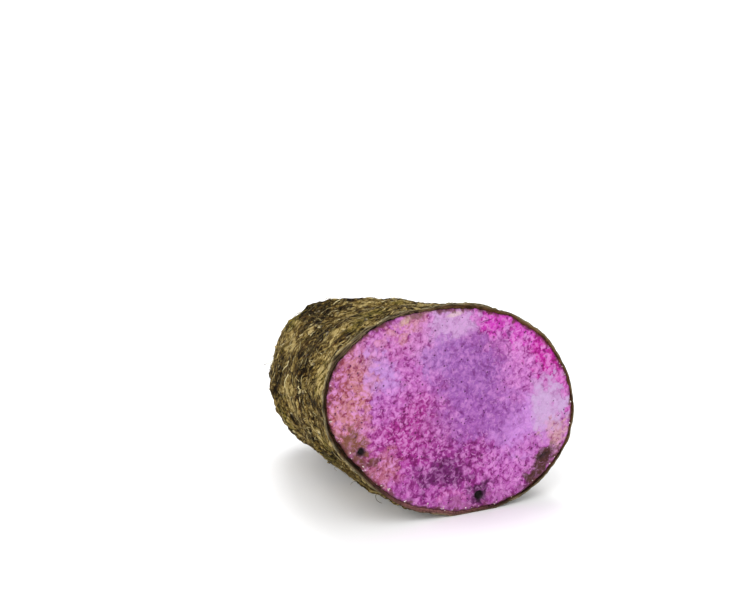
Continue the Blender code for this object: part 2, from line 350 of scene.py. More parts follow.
# The lip of skin round the cut. It is wider by a gain towards some angles, and its rows are given
# as a share of its width inwards and a depth behind the cut.
LIP_WIDTH = 0.00042
LIP_GAINS = ((0.00035, 92.0, 55.0), (0.00045, 275.0, 45.0), (0.00010, 236.0, 52.0))
LIP_FRAY = 0.00035
LIP_FRAY_SIZE = 0.0016
LIP_ROUGHNESS = 0.00030
LIP_ROUGHNESS_SIZE = 0.0012
LIP_ROWS = (
    (1.9, 0.0021),
    (1.22, 0.0013),
    (1.10, 0.0008),
    (0.94, 0.00048),
    (0.66, 0.00034),
    (0.32, 0.00046),
)
edge_ring = bark[0]
rim_angle = bark_angle[0]
low_rim = bump_round(rim_angle, *BOTTOM_LEFT_SIDE)
right_rim = bump_round(rim_angle, *RIGHT_SIDE)
lip_width = np.full(BARK_SEGMENTS, LIP_WIDTH)
for gain, centre, spread in LIP_GAINS:
    lip_width += gain * bump_round(rim_angle, centre, spread)
lip_width += LIP_FRAY * noise_field(edge_ring, LIP_FRAY_SIZE, (4.0, 4.0, 1.0))
inward = cut_middle - edge_ring
inward[..., 0] = 0.0
inward /= np.linalg.norm(inward, axis=-1, keepdims=True)
lip = []
for number, (share, depth) in enumerate(LIP_ROWS):
    row = edge_ring + inward * (share * lip_width)[..., None]
    rough_edge = LIP_ROUGHNESS * noise_field(edge_ring, LIP_ROUGHNESS_SIZE, (number, 7.0, 7.0))
    row[..., 0] = -depth + rough_edge * (share < 1.0)
    row[..., 2] = np.maximum(row[..., 2], BELLY_FLAT_DEPTH)
    lip.append(row)
cavity_floor = []
for share in (0.06, 0.5):
    row = cut_middle + (lip[0] - cut_middle) * share
    row[..., 0] = -LIP_ROWS[0][1]
    cavity_floor.append(row)

tip_point = body_point(0.0, 1.0)
tip_point = tip_point - np.array((large_relief(tip_point[None])[0], 0.0, 0.0))
bark_rows = np.concatenate([np.stack(cavity_floor), np.stack(lip), bark])
bark_ends = np.stack((tip_point, cavity_floor[0].mean(axis=0)))
bark_vertices = np.concatenate([bark_rows.reshape(-1, 3), bark_ends]) + to_origin


def grid_faces(rows, columns):
    """Quads of a grid that closes on itself round the columns, facing away from the first row."""
    row, column = np.meshgrid(np.arange(rows - 1), np.arange(columns), indexing="ij")
    following = (column + 1) % columns
    near, far = row * columns, (row + 1) * columns
    quads = (near + column, far + column, far + following, near + following)
    return np.stack([corner.ravel() for corner in quads], axis=1).tolist()


def mesh_piece(name, vertices, faces, attributes=()):
    """A smooth-shaded mesh object at the origin, with one number or vector a point where given."""
    mesh = bpy.data.meshes.new(name)
    mesh.from_pydata(vertices.tolist(), [], faces)
    for key, values in attributes:
        kind = "FLOAT" if values.ndim == 1 else "FLOAT_VECTOR"
        layer = mesh.attributes.new(key, kind, "POINT")
        layer.data.foreach_set("value" if kind == "FLOAT" else "vector", values.astype(np.float32).ravel())
    mesh.polygons.foreach_set("use_smooth", np.ones(len(mesh.polygons), bool))
    mesh.update()
    piece = bpy.data.objects.new(name, mesh)
    bpy.context.scene.collection.objects.link(piece)
    return piece


bark_row_count = len(bark_rows)
bark_faces = grid_faces(bark_row_count, BARK_SEGMENTS)
last_row = (bark_row_count - 1) * BARK_SEGMENTS
tip_index, floor_index = len(bark_vertices) - 2, len(bark_vertices) - 1
for segment in range(BARK_SEGMENTS):
    following = (segment + 1) % BARK_SEGMENTS
    bark_faces.append((last_row + segment, tip_index, last_row + following))
    bark_faces.append((segment, following, floor_index))

lip_row_count = bark_row_count - len(bark)


def over_bark(values, at_lip=0.0):
    """A number for every vertex of the bark: at_lip over the lip's rows, the given ones behind it."""
    lip_values = np.broadcast_to(at_lip, (lip_row_count, BARK_SEGMENTS))
    return np.concatenate([lip_values.ravel(), values.ravel(), [0.0, np.mean(at_lip)]])


# How far each point stands above its neighbourhood. The bark's colour uses it for painted shade in the
# grooves and painted highlights on the ridges.
STANDING_FULL = 0.00018
BLUR_REACHES = (1, 2, 3, 4)
blurred = fine.copy()
for reach in BLUR_REACHES:
    padded = np.pad(blurred, ((reach, reach), (0, 0)), mode="edge")
    lengthwise = 0.5 * (padded[: -2 * reach] + padded[2 * reach :])
    crosswise = 0.5 * (np.roll(blurred, reach, axis=1) + np.roll(blurred, -reach, axis=1))
    blurred = 0.34 * blurred + 0.33 * lengthwise + 0.33 * crosswise
standing = np.clip((fine - blurred) / STANDING_FULL, -2.0, 2.0)
grain_rows = np.concatenate([np.stack(cavity_floor + lip), grain])
grain_rows[:lip_row_count, :, 0] = 0.0
grain_ends = np.array([[profile_lengths[-1], 0.0, 0.0], [0.0, 0.0, 0.0]])

# Where loose things cling to the bark, rootlets in tufts and flakes mostly on the upper side: a
# place, a strength and a radius. None lie at the cut's band or under the belly.
ROOT_TUFTS = (
    ((0.028, -0.045, 0.042), 1.0, 0.0050),
    ((0.010, -0.043, 0.047), 0.6, 0.0060),
    ((-0.032, -0.036, 0.046), 0.8, 0.0060),
    ((-0.004, -0.016, 0.062), 0.7, 0.0060),
    ((-0.046, -0.008, 0.033), 1.0, 0.0080),
    ((0.010, 0.046, 0.030), 0.8, 0.0080),
    ((-0.020, 0.030, 0.048), 0.8, 0.0080),
)
FLAKY_SPOTS = (
    ((-0.010, -0.021, 0.058), 1.0, 0.0080),
    ((0.010, -0.025, 0.062), 0.8, 0.0070),
    ((0.022, -0.044, 0.043), 0.5, 0.0070),
    ((-0.015, 0.025, 0.055), 0.9, 0.0110),
)
ROOTY_EVERYWHERE = 0.10
FLAKY_EVERYWHERE = 0.22
CLEAR_OF_TABLE = 0.006
CLEAR_OF_BAND, CLEAR_RUN = 0.0008, 0.0015
ROOTS_CLEAR_OF_CUT, ROOTS_RUN = 0.004, 0.003
sound_bark = (1.0 - band) * smoothstep((behind_cut - band_run - CLEAR_OF_BAND) / CLEAR_RUN)
sound_bark = sound_bark * (bark[..., 2] > CLEAR_OF_TABLE)
rooty = np.clip(ROOTY_EVERYWHERE + hills(bark + to_origin, ROOT_TUFTS), 0.0, 1.0)
rooty = sound_bark * smoothstep((behind_cut - ROOTS_CLEAR_OF_CUT) / ROOTS_RUN) * rooty
flaky = sound_bark * np.clip(FLAKY_EVERYWHERE + hills(bark + to_origin, FLAKY_SPOTS), 0.0, 1.0)

bark_piece = mesh_piece(
    "bark",
    bark_vertices,
    bark_faces,
    (
        ("standing", over_bark(standing, -0.3)),
        ("band", over_bark(band, 1.0)),
        ("upper_left", over_bark(band * upper_left, 0.6 * upper_left)),
        ("low_rim", over_bark(band * low_rim, low_rim)),
        ("right_rim", over_bark(band * right_rim, right_rim)),
        ("crust", over_bark(crust)),
        ("rooty", over_bark(rooty)),
        ("flaky", over_bark(flaky)),
        ("sound", over_bark(sound_bark)),
        ("grain", np.concatenate([grain_rows.reshape(-1, 3), grain_ends])),
    ),
)


def tint(*parts):
    """A colour given as it looks on a screen, 0 to 255, as the linear values a shader takes."""
    linear = [((part / 255.0 + 0.055) / 1.055) ** 2.4 if part > 10 else part / 3294.6 for part in parts]
    return (*linear, 1.0)


def plug(made, inputs):
    """Sets a node's inputs, by name or number, each to a value or to a socket of the same tree."""
    for key, value in inputs.items():
        if isinstance(value, bpy.types.NodeSocket):
            value.id_data.links.new(value, made.inputs[key])
        else:
            made.inputs[key].default_value = value


def node(kind, inputs=None, tree=None, **settings):
    """A node with its inputs and settings, in the tree given or else the one its inputs come from."""
    for value in (inputs or {}).values():
        if isinstance(value, bpy.types.NodeSocket):
            tree = value.id_data
    made = tree.nodes.new(kind)
    for name, value in settings.items():
        setattr(made, name, value)
    plug(made, inputs or {})
    return made


def out(kind, inputs=None, tree=None, **settings):
    """The first output of such a node."""
    return node(kind, inputs, tree, **settings).outputs[0]


def maths(operation, first, second=0.0, third=0.0, clamp=False):
    inputs = {0: first, 1: second, 2: third}
    return out("ShaderNodeMath", inputs, operation=operation, use_clamp=clamp)


def times(first, *others):
    """The product of two values or more."""
    for other in others:
        first = maths("MULTIPLY", first, other)
    return first


def layered(value, *layers):
    """A value with layers on it: each is a socket, how much it counts, and a number to add."""
    for layer, share, shift in layers:
        value = maths("ADD", value, maths("MULTIPLY_ADD", layer, share, shift))
    return value


def vectors(operation, *values):
    """A sum on vectors. The last value of SCALE is its number, and a length or distance is one."""
    inputs = {0: values[0], 3: values[1]} if operation == "SCALE" else dict(enumerate(values))
    made = node("ShaderNodeVectorMath", inputs, operation=operation)
    return made.outputs["Value" if operation in ("LENGTH", "DISTANCE") else "Vector"]


def ramp(value, low, high, to_low=0.0, to_high=1.0):
    """A smooth change from to_low to to_high as a value goes from low to high."""
    inputs = {0: value, 1: low, 2: high, 3: to_low, 4: to_high}
    return out("ShaderNodeMapRange", inputs, interpolation_type="SMOOTHSTEP")


def mixed(factor, first, second, blend="MIX"):
    """A colour between two, from the first at 0 to the second at 1."""
    inputs = {0: factor, 6: first, 7: second}
    settings = {"data_type": "RGBA", "blend_type": blend, "clamp_factor": True}
    return node("ShaderNodeMix", inputs, **settings).outputs[2]


def mottle(place, size, detail=2.0, roughness=0.5, distortion=0.0, stretch=(1.0, 1.0, 1.0)):
    """Noise with features of a size in metres, about 0.3 to 0.7, drawn out where stretch is small."""
    scale = tuple(part / size for part in stretch)
    scaled = out("ShaderNodeMapping", {0: place, 3: scale}, vector_type="POINT")
    inputs = {0: scaled, 2: 1.0, 3: detail, 4: roughness, 8: distortion}
    return out("ShaderNodeTexNoise", inputs, noise_dimensions="3D")


def pushed(place, size, amount, detail=2.0):
    """The same place moved about by noise, so that a pattern read there curls."""
    inputs = {0: place, 2: 1.0 / size, 3: detail}
    colour = node("ShaderNodeTexNoise", inputs, noise_dimensions="3D").outputs["Color"]
    centred = vectors("SUBTRACT", colour, (0.5, 0.5, 0.5))
    return vectors("MULTIPLY_ADD", centred, (amount, amount, amount), place)


def thin_lines(value, half_width, level=0.5):
    """1 along the lines where a noise passes a level, 0 away from them."""
    apart = maths("ABSOLUTE", maths("SUBTRACT", value, level))
    return ramp(apart, half_width, 0.15 * half_width)


def new_material(name, roughness):
    """A material, its tree, its main shader and the object's own coordinates."""
    material = bpy.data.materials.new(name)
    material.use_nodes = True
    tree = material.node_tree
    shader = tree.nodes["Principled BSDF"]
    plug(shader, {"Roughness": roughness})
    place = node("ShaderNodeTexCoord", tree=tree).outputs["Object"]
    return material, tree, shader, place


def bumped(strength, distance, height):
    """Shading normals bumped by a height, in shares of a distance."""
    return out("ShaderNodeBump", {"Strength": strength, "Distance": distance, "Height": height})


def read(tree, name, output="Fac"):
    """A number or a vector stored on the mesh."""
    made = node("ShaderNodeAttribute", tree=tree, attribute_name=name, attribute_type="GEOMETRY")
    return made.outputs[output]


# The deepest, lit and brightest bark tones are partly the bark's own colours and partly painted shade in
# grooves and cracks and painted light and highlights on ridges.
BARK_DARK_AND_SHADE = tint(26, 19, 9)
BARK_BROWN = tint(84, 66, 36)
BARK_OLIVE = tint(110, 92, 48)
BARK_LIT = tint(208, 188, 128)
BARK_PALE_AND_HIGHLIGHT = tint(250, 236, 184)
BARK_FIBRE = tint(206, 190, 134)
BARK_GREEN_AND_LIT = tint(142, 136, 68)
BARK_EARTH = tint(62, 42, 26)
BARK_RUST = tint(104, 62, 30)
BAND_DARK_AND_SHADE = tint(36, 24, 16)
BAND_BROWN = tint(92, 64, 44)
BAND_GREY = tint(176, 160, 142)
BAND_GREY_DARK_AND_SHADE = tint(36, 30, 26)
BAND_RUST = tint(152, 112, 84)
CRUST_PALE = tint(158, 148, 116)
BARK_SHADE = (0.45, 0.395, 0.28, 1.0)
LOW_RIM_PINK = tint(200, 144, 164)
# Patches of the bark: place and radius in millimetres, strength and colour. The olive-green patches on the
# top and the lower left are partly the bark's own colour and partly painted light where it falls
# brightest.
BARK_PATCHES = (
    ((-30, -21, 54), 9, 0.9, BARK_GREEN_AND_LIT),
    ((27, -19, 68), 9, 0.85, BARK_GREEN_AND_LIT),
    ((33, -27, 67), 7, 0.6, BARK_GREEN_AND_LIT),
    ((-3, -39, 25), 8, 0.85, BARK_GREEN_AND_LIT),
    ((34, -41, 27), 8, 0.8, BARK_GREEN_AND_LIT),
    ((20, -33, 17), 9, 0.8, BARK_GREEN_AND_LIT),
    ((-22, -32, 28), 8, 0.7, BARK_GREEN_AND_LIT),
    ((-11, -21, 58), 8, 0.75, BARK_EARTH),
    ((-6, -14, 62), 5, 0.7, BARK_EARTH),
    ((14, -36, 56), 9, 0.55, BARK_EARTH),
    ((39, -43, 55), 7, 0.6, BARK_EARTH),
    ((18, -44, 40), 5, 0.6, BARK_RUST),
)

bark_material, tree, shader, place = new_material("yam_bark", 0.82)
grain_place = read(tree, "grain", "Vector")
curled = pushed(grain_place, 0.0060, 0.0070, 3.0)
stands = read(tree, "standing")
strands = mottle(curled, 0.0100, 2.0, 0.55, stretch=(8.5, 2.0, 2.0))
threads = mottle(curled, 0.0100, 2.0, 0.60, stretch=(17.0, 4.2, 4.2))
fibres = thin_lines(mottle(curled, 0.0100, 1.0, 0.5, stretch=(8.0, 1.8, 1.8)), 0.026)
fine_fibres = thin_lines(mottle(curled, 0.0060, 1.0, 0.5, stretch=(8.0, 2.0, 2.0)), 0.034, 0.52)
fibres = maths("MAXIMUM", fibres, times(fine_fibres, 0.8))
fibres_here = ramp(mottle(place, 0.0042), 0.38, 0.56)
cracks = thin_lines(mottle(curled, 0.0100, 2.0, 0.6, stretch=(5.0, 3.0, 3.0)), 0.022, 0.47)
cracks_here = ramp(mottle(place, 0.0034), 0.48, 0.58)
speckle = mottle(place, 0.0008, 2.0, 0.6)
clumps = mottle(curled, 0.0036, 5.0, 0.72, 0.5)
olive_here = ramp(mottle(place, 0.0110, 3.0, 0.6), 0.38, 0.62)
colour = mixed(olive_here, BARK_BROWN, BARK_OLIVE)
spread = pushed(place, 0.0050, 0.0120, 3.0)
for middle_mm, radius_mm, strength, patch_tint in BARK_PATCHES:
    away = vectors("DISTANCE", spread, tuple(part / 1000.0 for part in middle_mm))
    radius = radius_mm / 1000.0
    here = ramp(away, 1.15 * radius, 0.45 * radius, 0.0, strength)
    colour = mixed(here, colour, patch_tint)
for size, low, strength, patch_tint in (
    (0.0125, 0.60, 0.7, BARK_GREEN_AND_LIT),
    (0.0075, 0.60, 0.6, BARK_RUST),
    (0.0100, 0.58, 0.8, BARK_EARTH),
):
    here = mottle(pushed(place, 0.0060, size), size, 3.0, 0.6)
    colour = mixed(ramp(here, low, low + 0.09, 0.0, strength), colour, patch_tint)
blotches = mottle(spread, 0.0130, 3.0, 0.6)
# Low places of this height take painted shade and high ones painted light and highlights, over the bark's
# own dark and pale strands. The painted cracks take the same shade.
height = layered(
    maths("MULTIPLY_ADD", stands, 0.26, 0.5),
    (strands, 2.0, -1.0),
    (threads, 2.6, -1.3),
    (clumps, 3.2, -1.6),
    (blotches, 3.2, -1.6),
    (speckle, 0.7, -0.35),
)
fibres = times(fibres, fibres_here)
cracks = times(cracks, cracks_here)
lit = mixed(0.62, colour, BARK_LIT)
bright = mixed(0.85, colour, BARK_PALE_AND_HIGHLIGHT)
for here, layer_tint in (
    (ramp(height, 0.50, 0.08, 0.0, 0.96), BARK_DARK_AND_SHADE),
    (ramp(height, 0.60, 0.95), lit),
    (ramp(height, 0.92, 1.35), bright),
    (times(fibres, 0.75), BARK_FIBRE),
    (times(cracks, 0.85), BARK_DARK_AND_SHADE),
):
    colour = mixed(here, colour, layer_tint)
streaks = pushed(grain_place, 0.0040, 0.0016)
streaks = mottle(streaks, 0.0100, 3.0, 0.6, stretch=(20.0, 2.0, 2.0))
# The band's dark and grey-dark tones are partly the worn skin's colour and partly painted shade.
band_colour = mixed(ramp(streaks, 0.42, 0.64), BAND_DARK_AND_SHADE, BAND_BROWN)
grey_colour = mixed(ramp(streaks, 0.38, 0.62), BAND_GREY_DARK_AND_SHADE, BAND_GREY)
pink_here = times(read(tree, "low_rim"), ramp(speckle, 0.36, 0.52, 0.5, 0.95))
rust_here = times(read(tree, "right_rim"), ramp(streaks, 0.36, 0.58, 0.25, 0.95))
band_colour = mixed(read(tree, "upper_left"), band_colour, grey_colour)
band_colour = mixed(pink_here, band_colour, LOW_RIM_PINK)
band_colour = mixed(rust_here, band_colour, BAND_RUST)
colour = mixed(read(tree, "band"), colour, band_colour)
colour = mixed(1.0, colour, BARK_SHADE, "MULTIPLY")
crust_here = times(read(tree, "crust"), ramp(streaks, 0.36, 0.56, 0.35, 0.95))
colour = mixed(crust_here, colour, CRUST_PALE)
rough = maths("MULTIPLY_ADD", threads, -0.5, 1.0, clamp=True)
plug(shader, {"Base Color": colour, "Roughness": rough, "Specular IOR Level": 0.04})
surface = layered(
    times(strands, 1.2),
    (threads, 0.8, 0.0),
    (speckle, 0.4, 0.0),
    (fibres, 0.25, 0.0),
    (cracks, -0.35, 0.0),
)
plug(shader, {"Normal": bumped(1.0, 0.0011, surface)})
bark_piece.data.materials.append(bark_material)
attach(bark_piece, "root")
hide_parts("purple_yam_half")

# The cut flesh: raw and moist, laid bare by the knife, grainy and marbled in violet and magenta,
# paler at the sides, browned where it dried at the rim, with two small rot pits. It lies inside
# the lip of skin.

FLESH_CELLS = 296
FLESH_GAP = 0.00008
FLESH_THICKNESS = 0.0017
# Rot pits and scars: middle (Y, Z) from the cut's middle, radius and depth.
ROT_PITS = ((-0.0358, -0.0091, 0.0015, 0.0013), (0.0092, -0.0316, 0.0021, 0.0013))
SCARS = (
    (0.0340, -0.0225, 0.0040, 0.00050),
    (0.0300, -0.0292, 0.0030, 0.00030),
    (-0.0385, -0.0090, 0.0050, 0.00030),
)
PIT_RAGGED_SIZE = 0.0016
# Low waves and grain of the cut: height and size.
FLESH_WAVE = (0.00016, 0.0140)
FLESH_GRAIN = (0.00012, 0.00100)
GRANULE_SIZE = 0.00135
GRANULE_HEIGHT = 0.00020
GRANULE_WANDER = 0.00070
GRANULE_WANDER_SIZE = 0.0019
FLESH_ROUNDING = 0.00055
FLESH_ROUNDING_RUN = 0.0009
FLESH_SUNK = 0.00014
# The hidden skirt that closes the flesh, row by row: inset, and depth behind the cut.
SKIRT_ROWS = ((0.0, 0.0010), (0.0003, FLESH_THICKNESS))

flesh_edge = edge_ring + inward * (1.12 * lip_width + FLESH_GAP)[..., None] - cut_middle
edge_angles = np.unwrap(np.arctan2(flesh_edge[:, 2], flesh_edge[:, 1]))
edge_radii = np.hypot(flesh_edge[:, 1], flesh_edge[:, 2])
wrapped_angles = np.concatenate([edge_angles - 2.0 * math.pi, edge_angles, edge_angles + 2.0 * math.pi])
wrapped_radii = np.tile(edge_radii, 3)

# A square grid drawn out to a disc, and the disc out to the flesh's edge.
line = np.linspace(-1.0, 1.0, FLESH_CELLS + 1)
first, second = np.meshgrid(line, line, indexing="ij")
by_first = np.abs(first) > np.abs(second)
larger = np.where(by_first, first, second)
smaller = np.where(by_first, second, first)
ratio = np.divide(smaller, larger, out=np.zeros_like(smaller), where=larger != 0.0)
turned = np.where(by_first, 0.25 * math.pi * ratio, 0.5 * math.pi - 0.25 * math.pi * ratio)
disc_y, disc_z = larger * np.cos(turned), larger * np.sin(turned)
disc_angle, disc_radius = np.arctan2(disc_z, disc_y), np.hypot(disc_y, disc_z)
reach = np.interp(disc_angle, wrapped_angles, wrapped_radii)
from_middle = disc_radius * reach
flesh = np.stack((0.0 * reach, from_middle * np.cos(disc_angle), from_middle * np.sin(disc_angle)), -1)
from_rim = (1.0 - disc_radius) * reach

wandered = flesh.copy()
for axis, shift in ((1, (2.0, 8.0, 1.0)), (2, (6.0, 1.0, 3.0))):
    wandered[..., axis] += GRANULE_WANDER * noise_field(flesh, GRANULE_WANDER_SIZE, shift)
granule_middle, granule_next, granule_tone = cell_field(wandered, GRANULE_SIZE)
granule = smoothstep((granule_next - granule_middle) / 0.75)
relief = FLESH_WAVE[0] * noise_field(flesh, FLESH_WAVE[1], (3.0, 3.0, 3.0))
relief += FLESH_GRAIN[0] * noise_field(flesh, FLESH_GRAIN[1], (8.0, 1.0, 2.0))
relief += GRANULE_HEIGHT * (granule - 0.6) * (0.6 + 0.4 * granule_tone)
relief -= FLESH_ROUNDING * (1.0 - smoothstep(from_rim / FLESH_ROUNDING_RUN))
pit_mark = np.zeros_like(relief)
for side, up, radius, depth in ROT_PITS:
    away = np.hypot(flesh[..., 1] - side, flesh[..., 2] - up)
    ragged = away * (1.0 + 0.35 * noise_field(flesh, PIT_RAGGED_SIZE, (side * 900.0, 2.0, 5.0)))
    relief -= depth * (1.0 - smoothstep((ragged / radius - 0.35) / 0.85))
    pit_mark = np.maximum(pit_mark, 1.0 - smoothstep((ragged / radius - 0.55) / 0.75))
for side, up, radius, depth in SCARS:
    away = np.hypot(flesh[..., 1] - side, (flesh[..., 2] - up) * 1.4)
    relief -= depth * (1.0 - smoothstep(away / radius))
flesh[..., 0] = np.clip(relief - FLESH_SUNK, -FLESH_THICKNESS + 0.0002, 0.0)

side = FLESH_CELLS + 1
run = range(FLESH_CELLS)
border = [(0, k) for k in run] + [(k, FLESH_CELLS) for k in run]
border += [(FLESH_CELLS, FLESH_CELLS - k) for k in run] + [(FLESH_CELLS - k, 0) for k in run]
border = np.array([row * side + column for row, column in border])
front = flesh.reshape(-1, 3)
rim_points = front[border]
toward_middle = -rim_points / np.linalg.norm(rim_points[:, 1:], axis=1, keepdims=True)
skirts = []
for inset, depth in SKIRT_ROWS:
    row = rim_points + toward_middle * inset
    row[:, 0] = -depth
    skirts.append(row)
flesh_vertices = np.concatenate([front, *skirts]) + cut_middle + to_origin
row, column = np.meshgrid(np.arange(FLESH_CELLS), np.arange(FLESH_CELLS), indexing="ij")
corner = row * side + column
flesh_faces = np.stack((corner, corner + side, corner + side + 1, corner + 1), -1).reshape(-1, 4).tolist()
loops = [border, len(front) + np.arange(len(border)), len(front) + len(border) + np.arange(len(border))]
for upper, lower in zip(loops, loops[1:]):
    for k in range(len(border)):
        after = (k + 1) % len(border)
        flesh_faces.append((int(upper[k]), int(upper[after]), int(lower[after]), int(lower[k])))
flesh_faces.append(loops[2].tolist())


def over_flesh(values):
    """A number for every vertex of the flesh: the given ones in front, 0 on its hidden skirt."""
    return np.concatenate([values.ravel(), np.zeros(2 * len(border))])


# Where shreds stand up, and where pale crumbs lie by the rim, partly real crumbs and partly painted
# glints: mostly at the bottom, fewer at the right.
CRUMBS_FROM_RIM = 0.0007
CRUMBY_BOTTOM = (255.0, 115.0)
CRUMBY_RIGHT = (0.0, 50.0)
SHREDS_FROM_RIM, SHREDS_RUN = 0.0004, 0.0015
sound_flesh = (1.0 - pit_mark) * smoothstep((from_rim - SHREDS_FROM_RIM) / SHREDS_RUN)
near_edge = np.exp(-(((from_rim - CRUMBS_FROM_RIM) / CRUMBS_FROM_RIM) ** 2))
crumb_and_glint_places = near_edge * bump_round(disc_angle, *CRUMBY_BOTTOM)
crumb_and_glint_places = np.clip(crumb_and_glint_places + 0.5 * near_edge * bump_round(disc_angle, *CRUMBY_RIGHT), 0, 1)
flesh_piece = mesh_piece(
    "flesh",
    flesh_vertices,
    flesh_faces,
    (
        ("rim_distance", over_flesh(from_rim)),
        ("pit", over_flesh(pit_mark)),
        ("granule", over_flesh(granule)),
        ("sound", over_flesh(sound_flesh)),
        ("crumb_and_glint_places", over_flesh(crumb_and_glint_places)),
    ),
)
flesh_middle = cut_middle + to_origin

FLESH_BASE = tint(206, 116, 198)
# Clouds of colour in the flesh: middle (Y, Z) from the cut's middle and half sizes in millimetres,
# turn in degrees, strength, softness of the edge, how grainy it is there, and colour.
FLESH_CLOUDS = (
    ("rose_left", -14, 10, 18, 20, 0, 0.8, 1.0, 0.9, 212, 118, 204),
    ("bright_lower_left", -16, -8, 18, 15, 0, 0.9, 0.9, 1.0, 180, 34, 148),
    ("magenta_low", 4, -22, 30, 12, 0, 0.85, 0.9, 1.0, 198, 68, 180),
    ("pink_low_right", 19, -21, 10, 9, 0, 0.9, 0.9, 1.0, 218, 122, 212),
    ("lilac_right", 23, -8, 14, 11, 0, 0.95, 0.9, 0.4, 220, 154, 236),
    ("rose_right", 24, 13, 12, 9, -20, 0.85, 0.9, 0.8, 216, 130, 214),
    ("violet_upper", -6, 22, 8, 9, 0, 0.85, 0.9, 0.6, 192, 140, 214),
    ("violet_heart", 6, 9, 14, 21, 14, 0.95, 0.9, 0.45, 172, 104, 190),
    ("violet_centre_low", -5, -6, 9, 7, 0, 0.8, 0.9, 0.7, 182, 92, 172),
    ("violet_low", 9, -4, 14, 9, 0, 0.8, 0.8, 0.5, 176, 100, 190),
    ("dark_violet_right", 16, 18, 6, 4, -35, 0.6, 0.9, 0.8, 160, 66, 156),
    ("flecked_upper_right", 26, 17.5, 7, 5, -40, 0.75, 0.9, 1.0, 238, 150, 228),
    ("pale_top", 0, 31, 11, 5, -3, 0.95, 0.8, 0.35, 222, 178, 228),
    ("streaked_top_left", -14, 27, 7, 6, 20, 0.75, 0.9, 0.7, 224, 152, 214),
    ("rose_top_left", -25, 26, 8, 7, 0, 0.8, 0.9, 0.9, 204, 106, 182),
    ("tan_top_left", -21, 30.5, 9, 2.6, 24, 0.75, 0.9, 0.7, 228, 164, 172),
    ("lilac_left", -30, 18, 6, 9, 12, 0.75, 0.8, 0.4, 214, 168, 238),
    ("lilac_left_low", -28, 6, 5, 6, 0, 0.35, 0.8, 0.8, 216, 136, 222),
    ("hot_top_right", 16, 29, 9, 5, -15, 0.95, 0.7, 0.9, 230, 66, 206),
    ("hot_upper_right", 26, 24, 8, 4.5, -38, 0.9, 0.8, 0.9, 226, 72, 204),
    ("pale_right", 35.5, -3, 6.5, 10, 8, 0.95, 0.9, 0.15, 224, 190, 234),
    ("hot_right", 35.5, 14.5, 9, 6, -60, 0.98, 0.7, 0.9, 216, 38, 178),
    ("hot_rim_right", 43, 4, 3.0, 10, 8, 0.85, 0.8, 0.8, 222, 84, 196),
    ("salmon_left", -41, 9, 8, 20, -12, 0.95, 0.8, 0.9, 214, 142, 138),
    ("red_left", -45, 13, 3, 13, -16, 0.75, 0.9, 0.9, 168, 70, 86),
    ("pink_low_left", -38, -2, 7, 6, 0, 0.8, 0.8, 0.8, 210, 132, 138),
    ("dark_below", -2, -17, 13, 5, -4, 0.55, 1.0, 1.0, 150, 44, 138),
    ("dark_heart_below", -6, -23, 12, 5, -4, 0.95, 0.9, 0.6, 116, 26, 108),
    ("dark_by_pit", 9, -30.5, 5, 3.6, 10, 0.9, 0.9, 0.4, 84, 16, 74),
    ("tan_lower_left", -30, -18, 8, 8, 34, 0.9, 0.8, 0.9, 200, 118, 136),
    ("brown_lower_left", -40, -7.5, 7, 6.5, -20, 0.98, 0.8, 0.35, 138, 90, 64),
    ("brown_corner", -36, -13, 3.5, 5, 0, 0.8, 0.9, 0.4, 124, 78, 62),
    ("lilac_low_left", -19, -30.5, 9, 1.8, -22, 0.75, 0.9, 0.3, 172, 104, 160),
    ("peach_lower_right", 40, -14.5, 5, 7, 20, 0.9, 0.8, 0.6, 228, 178, 178),
    ("brown_lower_right", 33.5, -25, 11, 4.8, 44, 0.98, 0.7, 0.3, 86, 50, 36),
    ("dull_bottom", 0, -35.4, 17, 1.7, 0, 0.8, 0.9, 0.4, 180, 100, 156),
    ("pale_pink_low", -1, -31.3, 5, 2, 0, 0.6, 0.9, 0.9, 226, 122, 190),
)
# Marks with sharper edges: the same without the graininess.
FLESH_MARKS = (
    ("scar_dark", 34.5, -21.5, 2.8, 1.2, 24, 0.95, 0.9, 62, 34, 28),
    ("scar_crack", 34.5, -21.3, 2.2, 0.35, 30, 0.9, 0.8, 24, 10, 10),
    ("yellow_spot", -19.5, 33.8, 3.0, 1.2, 30, 0.65, 1.0, 226, 202, 146),
    ("cream_rim", -11.0, 36.0, 6.0, 0.9, 12, 0.55, 1.0, 222, 190, 160),
    ("brown_by_spot", -15.5, 34.6, 2.6, 1.1, 10, 0.8, 0.6, 124, 78, 66),
    ("pale_streak", -1.0, 33.6, 3.4, 0.9, 4, 0.7, 0.7, 244, 216, 214),
    ("dark_thread", 11.2, 30.0, 2.8, 0.22, 12, 0.9, 0.5, 92, 10, 84),
    ("dark_smear", 27.0, 25.0, 1.4, 0.5, -30, 0.7, 0.6, 116, 14, 100),
)
GRANULE_GRID = 0.0020
GRANULE_REACH = (0.0, 0.0052, 0.0052)


def clouded(place, cloud, colour, strength, softness, *cloud_tint):
    """Lays one cloud over a colour. Returns how much it counts at the place, and the new colour."""
    name, side_mm, up_mm, half_y, half_z, turn = cloud
    inputs = {
        0: place,
        1: (0.0, side_mm / 1000.0, up_mm / 1000.0),
        2: (math.radians(turn), 0.0, 0.0),
        3: (1.0, half_y / 1000.0, half_z / 1000.0),
    }
    centred = out("ShaderNodeMapping", inputs, vector_type="TEXTURE", label=name)
    away = vectors("LENGTH", centred)
    here = ramp(away, 1.0 + 0.45 * softness, 1.0 - 0.65 * softness, 0.0, strength)
    return here, mixed(here, colour, tint(*cloud_tint))


